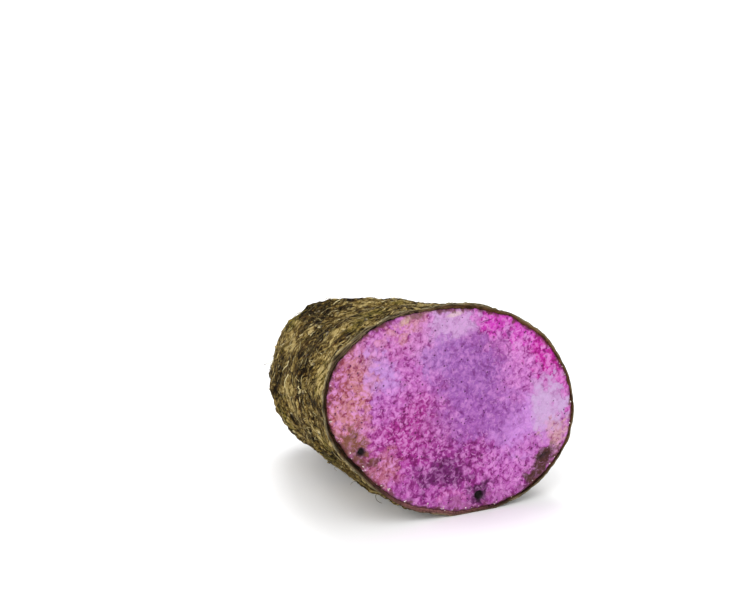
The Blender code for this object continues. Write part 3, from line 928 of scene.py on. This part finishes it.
def flesh_colours(place):
    """The flesh's colour at a place, made of granules that each take a cloud's colour from nearby.

    Returns the place from the cut's middle, the colour, how grainy it is, how far from a granule's
    middle, and a random tone for each granule.
    """
    offset = vectors("SUBTRACT", place, tuple(flesh_middle))
    curly = pushed(offset, 0.0022, 0.0024, 1.0)
    inputs = {"Vector": curly, "Scale": 1.0 / GRANULE_GRID, "Smoothness": 0.35}
    cells = node("ShaderNodeTexVoronoi", inputs, voronoi_dimensions="3D", feature="SMOOTH_F1")
    tone = cells.outputs["Color"]
    warped = pushed(pushed(offset, 0.0110, 0.0110, 1.0), 0.0030, 0.0040, 2.0)
    lightly = pushed(offset, 0.0020, 0.0012, 1.0)
    centred = vectors("SUBTRACT", tone, (0.5, 0.5, 0.5))
    warped = vectors("MULTIPLY_ADD", centred, GRANULE_REACH, warped)
    colour, grainy = FLESH_BASE, 0.8
    for *cloud, strength, softness, there, red, green, blue in FLESH_CLOUDS:
        here, colour = clouded(warped, cloud, colour, strength, softness, red, green, blue)
        grainy = out("ShaderNodeMix", {0: here, 2: grainy, 3: there}, data_type="FLOAT")
    for *cloud, strength, softness, red, green, blue in FLESH_MARKS:
        here, colour = clouded(lightly, cloud, colour, strength, softness, red, green, blue)
        grainy = out("ShaderNodeMix", {0: here, 2: grainy, 3: 0.1}, data_type="FLOAT")
    tone = out("ShaderNodeSeparateColor", {0: tone})
    return offset, colour, grainy, cells.outputs["Distance"], tone


FLESH_PALE = tint(252, 176, 244)
FLESH_DEEP = tint(104, 14, 90)
FLESH_DEEPER_BY = tint(172, 78, 158)
FLESH_DOT = tint(84, 20, 72)
FLESH_SHADE = (0.66, 0.63, 0.66, 1.0)
FLESH_DRIED = tint(112, 60, 56)
PIT_BLACK = tint(20, 8, 12)
DOTS_PER_METRE = 420.0

flesh_material, tree, shader, place = new_material("yam_flesh", 0.42)
offset, colour, grainy, away, tone = flesh_colours(place)
pale = mixed(0.56, colour, FLESH_PALE)
deep = mixed(0.9, colour, FLESH_DEEPER_BY, "MULTIPLY")
marbling = mottle(offset, 0.0034, 3.0, 0.65, 0.6)
fine_grain = mottle(offset, 0.0016, 2.0, 0.55, 0.8)
# Where the flesh is grainy, each granule goes paler at its middle and deeper at its border and in the
# mesh's hollows between granules. This is partly the flesh's own mottling and partly painted light and
# painted shade.
light = times(ramp(away, 0.62, 0.18), ramp(tone, 0.45, 0.85))
light = maths("ADD", light, ramp(fine_grain, 0.50, 0.64))
light = times(light, ramp(marbling, 0.38, 0.60, 0.45, 1.1))
dark = maths("ADD", ramp(away, 0.46, 0.80, 0.0, 0.8), ramp(tone, 0.30, 0.05, 0.0, 0.6))
dark = maths("ADD", dark, ramp(fine_grain, 0.49, 0.36, 0.0, 0.95))
dark = times(dark, ramp(marbling, 0.62, 0.40, 0.45, 1.1))
dark = maths("MULTIPLY_ADD", dark, 0.9, times(read(tree, "granule"), -0.25))
colour = mixed(maths("MULTIPLY", dark, grainy, clamp=True), colour, deep)
colour = mixed(maths("MULTIPLY", light, grainy, clamp=True), colour, pale)
curly = pushed(offset, 0.0022, 0.0022, 1.0)
for size, half_width, there, strength, dash_tint in (
    (0.0048, 0.030, 0.0028, 0.55, FLESH_PALE),
    (0.0036, 0.020, 0.0024, 0.70, FLESH_DEEP),
    (0.0050, 0.014, 0.0031, 0.60, FLESH_DEEP),
):
    dashes = thin_lines(mottle(curly, size, 1.0), half_width)
    short = ramp(mottle(offset, there, 1.0), 0.52, 0.60, 0.0, strength)
    colour = mixed(times(dashes, short, grainy), colour, dash_tint)
inputs = {0: offset, 2: DOTS_PER_METRE}
cells = node("ShaderNodeTexVoronoi", inputs, voronoi_dimensions="3D", feature="F1")
dot_size = out("ShaderNodeSeparateColor", {0: cells.outputs["Color"]})
dot_reach = maths("MULTIPLY_ADD", dot_size, 0.26, -0.10)
dots = ramp(maths("SUBTRACT", cells.outputs["Distance"], dot_reach), 0.02, -0.03)
fray = maths("MULTIPLY_ADD", mottle(offset, 0.0026, 4.0, 0.6), 0.0072, -0.0034)
from_edge = maths("ADD", read(tree, "rim_distance"), fray)
for here, layer_tint in (
    (times(dots, 0.85), FLESH_DOT),
    (ramp(from_edge, 0.0016, -0.0002, 0.0, 0.85), FLESH_DRIED),
    (read(tree, "pit"), PIT_BLACK),
):
    colour = mixed(here, colour, layer_tint)
colour = mixed(1.0, colour, FLESH_SHADE, "MULTIPLY")
rough = maths("MULTIPLY_ADD", fine_grain, -0.6, 0.80, clamp=True)
plug(shader, {"Base Color": colour, "Roughness": rough, "Specular IOR Level": 0.15})
plug(shader, {"Subsurface Weight": 0.08, "Subsurface Radius": (1.0, 0.4, 0.8), "Subsurface Scale": 0.0010})
surface = layered(fine_grain, (mottle(offset, 0.0005, 1.0), 0.6, 0.0))
plug(shader, {"Normal": bumped(0.6, 0.00035, surface)})
flesh_piece.data.materials.append(flesh_material)
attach(flesh_piece, "root")
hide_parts("purple_yam_half")

# Flakes of bark, round nodules and crumbs: loose bits that lie on the bark, and starch grains and shreds
# that the knife dragged up on the cut. The near-white crumbs by the cut's rim are partly crumbs and partly
# painted glints. Each is a squashed, ragged ball set on its carrier.

INPUT_KINDS = {"Where": "String", "Material": "Material", "Seed": "Int", "Points": "Int"}


def new_grower(name, sizes):
    """A geometry tree with the carrier's mesh in and a mesh out, and a named input for each size."""
    tree = bpy.data.node_groups.new(name, "GeometryNodeTree")
    for way in ("INPUT", "OUTPUT"):
        tree.interface.new_socket(name="Carrier", in_out=way, socket_type="NodeSocketGeometry")
    for label in ("Where", "Material", "Seed", *sizes):
        kind = "NodeSocket" + INPUT_KINDS.get(label, "Float")
        tree.interface.new_socket(name=label, in_out="INPUT", socket_type=kind)
    return tree, tree.nodes.new("NodeGroupInput").outputs


def drawn(low, high, seed, vector=False):
    """A random number, or a random vector, for each point."""
    keys = (0, 1) if vector else (2, 3)
    inputs = {keys[0]: low, keys[1]: high, 8: seed}
    made = node("FunctionNodeRandomValue", inputs, data_type="FLOAT_VECTOR" if vector else "FLOAT")
    return made.outputs[0 if vector else 1]


def moved(geometry, offset):
    """The geometry's points, each moved by an offset."""
    return out("GeometryNodeSetPosition", {"Geometry": geometry, "Offset": offset})


def noise_push(size, amount):
    """A random offset for each point, alike at points that are near each other."""
    place = out("GeometryNodeInputPosition", tree=size.id_data)
    inputs = {0: place, 2: maths("DIVIDE", 1.0, size), 3: 1.0}
    colour = node("ShaderNodeTexNoise", inputs).outputs["Color"]
    centred = vectors("SUBTRACT", colour, (0.5, 0.5, 0.5))
    return vectors("SCALE", centred, times(amount, 2.0))


def seeded_points(given, seed_shift):
    """Points strewn over the carrier, as thick as its named attribute says, and their spun turns."""
    there = out("GeometryNodeInputNamedAttribute", {"Name": given["Where"]}, data_type="FLOAT")
    density = times(given["Per Square Metre"], there)
    inputs = {"Mesh": given["Carrier"], "Density": density, "Seed": given["Seed"]}
    strewn = node("GeometryNodeDistributePointsOnFaces", inputs, distribute_method="RANDOM")
    spin = out("ShaderNodeCombineXYZ", {0: given["Tilt"], 1: given["Tilt"], 2: math.pi})
    euler = drawn(vectors("SCALE", spin, -1.0), spin, seed_shift, vector=True)
    turn = out("FunctionNodeEulerToRotation", {0: euler})
    inputs = {0: strewn.outputs["Rotation"], 1: turn}
    return strewn, out("FunctionNodeRotateRotation", inputs, rotation_space="LOCAL")


def instanced(points, instance, rotation, scale):
    """An instance on every point, made real."""
    inputs = {"Points": points, "Instance": instance, "Rotation": rotation, "Scale": scale}
    placed = out("GeometryNodeInstanceOnPoints", inputs)
    return out("GeometryNodeRealizeInstances", {0: placed})


def finish_grower(mesh, given):
    """Smooth shading, the bits' own material, and the tree's way out."""
    smooth = out("GeometryNodeSetShadeSmooth", {"Geometry": mesh})
    whole = out("GeometryNodeRealizeInstances", {0: smooth})
    painted = out("GeometryNodeSetMaterial", {"Geometry": whole, "Material": given["Material"]})
    plug(painted.id_data.nodes.new("NodeGroupOutput"), {0: painted})
    return painted.id_data


BIT_SIZES = ("Per Square Metre", "Tilt", "Smallest", "Largest", "Stretch", "Flatness", "Rise", "Ragged")
tree, given = new_grower("strewn_bits", BIT_SIZES)
strewn, rotation = seeded_points(given, 1)
size = drawn(given["Smallest"], given["Largest"], 2)
lift = vectors("SCALE", strewn.outputs["Normal"], times(size, given["Rise"]))
raised = moved(strewn.outputs["Points"], lift)
long_size = times(size, drawn(1.0, given["Stretch"], 3))
flat_size = times(size, given["Flatness"])
scale = out("ShaderNodeCombineXYZ", {0: long_size, 1: size, 2: flat_size})
ball = out("GeometryNodeMeshIcoSphere", {"Radius": 0.5, "Subdivisions": 1}, tree)
balls = instanced(raised, ball, rotation, scale)
ragged = moved(balls, noise_push(given["Smallest"], given["Ragged"]))
bits_tree = finish_grower(ragged, given)


def grown(name, carrier, tree, material, where, seed, sizes):
    """Grows bits over a carrier by a geometry tree, keeps them as a plain mesh, and fixes them on."""
    host = bpy.data.objects.new(name + "_host", carrier.data)
    bpy.context.scene.collection.objects.link(host)
    modifier = host.modifiers.new(name, "NODES")
    modifier.node_group = tree
    sockets = [item for item in tree.interface.items_tree if item.in_out == "INPUT"]
    asked = [item for item in sockets if item.name != "Carrier"]
    for item, value in zip(asked, (where, material, seed, *sizes)):
        modifier[item.identifier] = value
    scene_now = bpy.context.evaluated_depsgraph_get()
    mesh = bpy.data.meshes.new_from_object(host.evaluated_get(scene_now), depsgraph=scene_now)
    host.modifiers.remove(modifier)
    bpy.data.objects.remove(host)
    mesh.name = name
    piece = bpy.data.objects.new(name, mesh)
    bpy.context.scene.collection.objects.link(piece)
    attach(piece, "root")
    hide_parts("purple_yam_half")


def bit_material(name, dark_tint, light_tint, roughness, size):
    """A material that wanders between two colours over a size."""
    material, _, shader, place = new_material(name, roughness)
    colour = mixed(ramp(mottle(place, size), 0.40, 0.60), tint(*dark_tint), tint(*light_tint))
    plug(shader, {"Base Color": colour, "Normal": bumped(0.6, 0.0002, mottle(place, 0.0005))})
    return material


flake_material = bit_material("bark_flake", (58, 44, 26), (168, 152, 104), 0.8, 0.0030)
nodule_material = bit_material("bark_nodule", (96, 82, 48), (186, 172, 124), 0.7, 0.0040)
# The near-white rim crumbs are partly starch crumbs and partly painted glints of moisture.
crumb_and_glint_material = bit_material("rim_crumb_and_glint", (196, 172, 168), (244, 232, 228), 0.3, 0.0030)
shred_material, _, shader, place = new_material("flesh_shred", 0.38)
offset, colour, *_ = flesh_colours(place)
here = ramp(mottle(offset, 0.0016), 0.40, 0.60, 0.0, 0.30)
colour = mixed(here, colour, FLESH_PALE)
colour = mixed(1.0, colour, FLESH_SHADE, "MULTIPLY")
plug(shader, {"Base Color": colour})

# Sizes in the order of BIT_SIZES.
FLAKES = (42000.0, 0.35, 0.0006, 0.0015, 2.4, 0.20, 0.10, 0.00012)
NODULES = (2600.0, 0.5, 0.00045, 0.0010, 1.3, 0.8, 0.15, 0.00006)
CRUMBS_AND_GLINTS = (420000.0, 0.6, 0.00022, 0.00060, 1.7, 0.7, 0.20, 0.00004)
SHREDS = (150000.0, 0.15, 0.00034, 0.00066, 3.2, 0.5, -0.10, 0.00006)
grown("bark_flakes", bark_piece, bits_tree, flake_material, "flaky", 3, FLAKES)
grown("bark_nodules", bark_piece, bits_tree, nodule_material, "sound", 8, NODULES)
grown("rim_crumbs_and_glints", flesh_piece, bits_tree, crumb_and_glint_material, "crumb_and_glint_places", 5, CRUMBS_AND_GLINTS)
grown("flesh_shreds", flesh_piece, bits_tree, shred_material, "sound", 21, SHREDS)

# Rootlets and bark fibres: withered, curly threads, thick ones in tufts where roots came out, and
# short fine ones all over. Each grows from the bark, curls, and lies close to it.

THREAD_SIZES = (
    "Per Square Metre",
    "Tilt",
    "Shortest",
    "Longest",
    "Thickness",
    "Curl",
    "Curl Size",
    "Lift",
    "Points",
)
WAVES_PER_METRE = 420.0
tree, given = new_grower("surface_threads", THREAD_SIZES)
strewn, rotation = seeded_points(given, 4)
straight = out("GeometryNodeCurvePrimitiveLine", {"End": (1.0, 0.0, 0.0)}, tree)
straight = out("GeometryNodeResampleCurve", {"Curve": straight, "Count": given["Points"]})
length = drawn(given["Shortest"], given["Longest"], 5)
lines = instanced(strewn.outputs["Points"], straight, rotation, length)
share = node("GeometryNodeSplineParameter", tree=tree).outputs["Factor"]
push = noise_push(given["Curl Size"], given["Curl"])
curls = moved(lines, vectors("SCALE", push, share))
below = out("GeometryNodeProximity", {"Geometry": given["Carrier"]}, target_element="FACES")
inputs = {"Mesh": given["Carrier"], "Value": out("GeometryNodeInputNormal", tree=tree)}
facing = out("GeometryNodeSampleNearestSurface", inputs, data_type="FLOAT_VECTOR")
inputs = {0: out("GeometryNodeInputPosition", tree=tree), 2: WAVES_PER_METRE, 3: 0.0}
waves = out("ShaderNodeTexNoise", inputs)
lifted = maths("MULTIPLY_ADD", given["Thickness"], 0.6, times(waves, given["Lift"], share))
lifted = out("ShaderNodeCombineXYZ", {0: lifted, 1: lifted, 2: lifted})
target_place = vectors("MULTIPLY_ADD", facing, lifted, below)
laid = out("GeometryNodeSetPosition", {"Geometry": curls, "Position": target_place})
thickness = times(maths("MULTIPLY_ADD", share, -0.6, 1.0), given["Thickness"])
ring = out("GeometryNodeCurvePrimitiveCircle", {"Resolution": 5, "Radius": 0.5}, tree)
inputs = {"Curve": laid, "Profile Curve": ring, "Scale": thickness, "Fill Caps": True}
threads_tree = finish_grower(out("GeometryNodeCurveToMesh", inputs), given)

# Sizes in the order of THREAD_SIZES.
ROOTLETS = (13000.0, 0.0, 0.0030, 0.0062, 0.00036, 0.0034, 0.0028, 0.0016, 16)
FIBRES = (22000.0, 0.0, 0.0018, 0.0046, 0.00020, 0.0020, 0.0026, 0.0004, 8)
HAIRS = (1000.0, 0.0, 0.0030, 0.0060, 0.00026, 0.0024, 0.0040, 0.0042, 10)
rootlet_material = bit_material("rootlet", (136, 118, 74), (212, 198, 146), 0.7, 0.0030)
fibre_material = bit_material("bark_fibre", (84, 70, 40), (176, 162, 112), 0.8, 0.0030)
grown("rootlets", bark_piece, threads_tree, rootlet_material, "rooty", 12, ROOTLETS)
grown("bark_fibres", bark_piece, threads_tree, fibre_material, "sound", 31, FIBRES)
grown("stray_hairs", bark_piece, threads_tree, fibre_material, "sound", 77, HAIRS)

# Floor, light and camera: a plain white table that curves up into a backdrop, lit from above by
# large soft lamps, and the camera at the photograph's place, a little above the yam, in front of
# the cut and to its left.

FLOOR_HALF = 4.0
FLOOR_FLAT = 2.4
FLOOR_BEND = 0.8
FLOOR_BEND_STEPS = 12
FLOOR_RISE = 3.0
floor_line = [(-FLOOR_HALF, 0.0), (FLOOR_FLAT, 0.0)]
for step in range(1, FLOOR_BEND_STEPS + 1):
    bend = 0.5 * math.pi * step / FLOOR_BEND_STEPS
    floor_line.append((FLOOR_FLAT + FLOOR_BEND * math.sin(bend), FLOOR_BEND * (1.0 - math.cos(bend))))
floor_line.append((FLOOR_FLAT + FLOOR_BEND, FLOOR_RISE))
VIEW_AZIMUTH = math.radians(62.4115)
VIEW_ELEVATION = math.radians(14.9309)
EYE_AZIMUTH = math.radians(60.0)
EYE_ELEVATION = math.radians(18.0)
EYE_DISTANCE = 0.69326
AIM_Y, AIM_HEIGHT = 0.00066, 0.0375
LENS_MM = 100.0
WORLD_STRENGTH = 0.82


def direction(azimuth, elevation):
    """From the yam towards an eye at an azimuth, which is 0 in front along -Y, and an elevation."""
    level = math.cos(elevation)
    return Vector((math.sin(azimuth) * level, -math.cos(azimuth) * level, math.sin(elevation)))


away = -direction(VIEW_AZIMUTH, 0.0)
across = Vector((away.y, -away.x, 0.0))
up = Vector((0.0, 0.0, 1.0))
floor_points, floor_faces = [], []
for reach_out, rise in floor_line:
    for wide in (-FLOOR_HALF, FLOOR_HALF):
        floor_points.append(away * reach_out + across * wide + up * rise)
for step in range(len(floor_line) - 1):
    floor_faces.append((2 * step, 2 * step + 1, 2 * step + 3, 2 * step + 2))
floor = mesh_piece("table", np.array(floor_points), floor_faces)
floor_material, _, shader, _ = new_material("white_table", 0.65)
plug(shader, {"Base Color": tint(246, 246, 247), "Specular IOR Level": 0.2})
floor.data.materials.append(floor_material)

eye_aim = Vector((cut_place[0], AIM_Y, AIM_HEIGHT))


def soft_lamp(name, toward, distance, size, power):
    """A square lamp in a direction from the yam, facing it."""
    lamp_data = bpy.data.lights.new(name, "AREA")
    lamp_data.shape = "SQUARE"
    lamp_data.size = size
    lamp_data.energy = power
    lamp = bpy.data.objects.new(name, lamp_data)
    lamp.location = eye_aim + toward.normalized() * distance
    lamp.rotation_euler = (-toward).to_track_quat("-Z", "Y").to_euler()
    bpy.context.scene.collection.objects.link(lamp)


soft_lamp("key", -away * 1.0 - across * 0.2 + up * 1.25, 2.2, 1.3, 18.0)
soft_lamp("behind", away * 1.0 + up * 2.2, 2.6, 1.4, 30.0)
soft_lamp("front", -away - across * 0.2 + up * 0.22, 1.5, 1.0, 4.0)
soft_lamp("left", -across * 1.5 + up * 0.55 - away * 0.2, 1.8, 1.0, 14.0)

world = bpy.data.worlds.new("studio")
bpy.context.scene.world = world
world.use_nodes = True
plug(world.node_tree.nodes["Background"], {"Color": (1.0, 1.0, 1.0, 1.0), "Strength": WORLD_STRENGTH})

camera_data = bpy.data.cameras.new("camera")
camera_data.lens = LENS_MM
camera_data.sensor_width = 36.0
camera_data.clip_start = 0.02
camera = bpy.data.objects.new("camera", camera_data)
camera.location = eye_aim + direction(EYE_AZIMUTH, EYE_ELEVATION) * EYE_DISTANCE
camera.rotation_euler = direction(VIEW_AZIMUTH, VIEW_ELEVATION).to_track_quat("Z", "Y").to_euler()
bpy.context.scene.collection.objects.link(camera)
bpy.context.scene.camera = camera
bpy.context.scene.view_settings.view_transform = "Standard"
bpy.context.scene.view_settings.look = "None"
